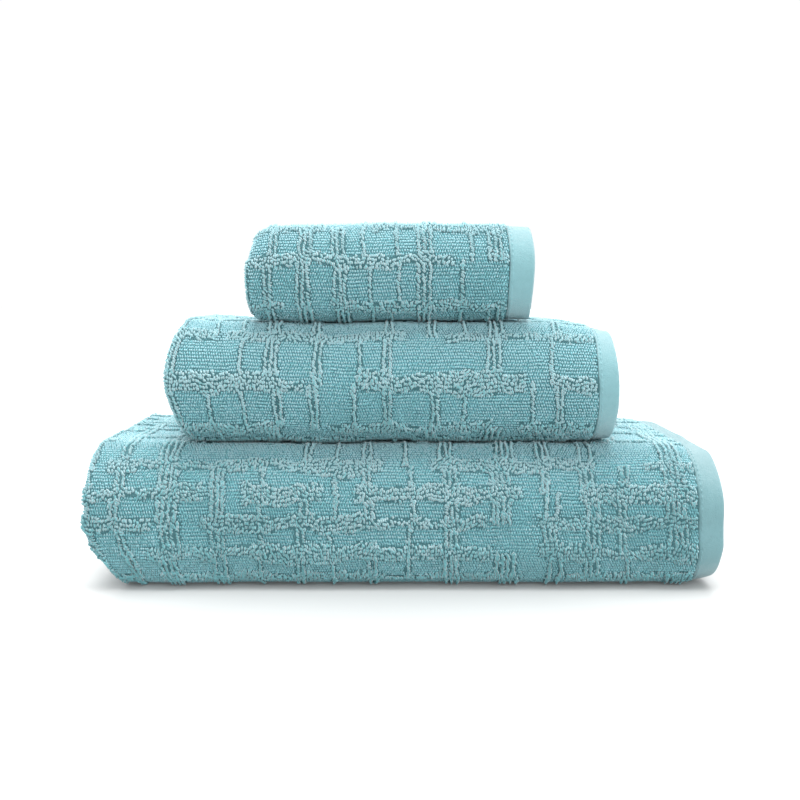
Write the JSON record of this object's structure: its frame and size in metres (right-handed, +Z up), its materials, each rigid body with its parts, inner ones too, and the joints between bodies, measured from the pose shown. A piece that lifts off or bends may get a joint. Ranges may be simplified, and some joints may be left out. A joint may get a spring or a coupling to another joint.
{
  "type": "folded bath towel set",
  "caption": "Stack of folded terry towels in graduated sizes, with a raised grid of loops, thick round front folds and flat woven side hems.",
  "frame": {"origin": "middle of the floor area that the stack covers, at floor height", "axes": "+X towards the hemmed open side of the folded towels, -Y towards the thick round front folds, +Z up"},
  "size_m": [0.35, 0.191, 0.2002],
  "materials": {
    "terry": "matte cotton terry, low loops crossed by bands of taller loops",
    "flat_weave": "matte flat woven cotton",
    "thread": "sewing thread with a slight sheen",
    "satin": "plain satin ribbon"
  },
  "bodies": {
    "bath_towel": {"bath_terry_cloth": "terry", "bath_side_hem_outer": "flat_weave", "bath_side_hem_inner": "flat_weave", "bath_side_seam_outer": "thread", "bath_side_seam_inner": "thread", "bath_end_hem_first": "flat_weave", "bath_end_hem_last": "flat_weave", "bath_end_seam_first": "thread", "bath_end_seam_last": "thread"},
    "bath_label": {"bath_care_label": "satin"},
    "hand_towel": {"hand_terry_cloth": "terry", "hand_side_hem_outer": "flat_weave", "hand_side_hem_inner": "flat_weave", "hand_side_seam_outer": "thread", "hand_side_seam_inner": "thread", "hand_end_hem_first": "flat_weave", "hand_end_hem_last": "flat_weave", "hand_end_seam_first": "thread", "hand_end_seam_last": "thread"},
    "hand_label": {"hand_care_label": "satin"},
    "face_towel": {"face_terry_cloth": "terry", "face_side_hem_outer": "flat_weave", "face_side_hem_inner": "flat_weave", "face_side_seam_outer": "thread", "face_side_seam_inner": "thread", "face_end_hem_first": "flat_weave", "face_end_hem_last": "flat_weave", "face_end_seam_first": "thread", "face_end_seam_last": "thread"},
    "face_label": {"face_care_label": "satin"}
  },
  "joints": [
    {"name": "hand_towel_lift", "type": "slide", "parent": "bath_towel", "child": "hand_towel", "axis": [0, 0, 1], "range_m": [0, 0.05]},
    {"name": "face_towel_lift", "type": "slide", "parent": "hand_towel", "child": "face_towel", "axis": [0, 0, 1], "range_m": [0, 0.05]},
    {"name": "bath_label_bend", "type": "hinge", "parent": "bath_towel", "child": "bath_label", "pos_m": [0.121, 0.0735, 0.0021], "axis": [1, 0, 0], "range_deg": [0, 40]},
    {"name": "hand_label_bend", "type": "hinge", "parent": "hand_towel", "child": "hand_label", "pos_m": [0.0682, 0.0362, 0.0775], "axis": [1, 0, 0], "range_deg": [0, 40]},
    {"name": "face_label_bend", "type": "hinge", "parent": "face_towel", "child": "face_label", "pos_m": [0.0187, 0.0023, 0.1467], "axis": [1, 0, 0], "range_deg": [0, 15]}
  ]
}
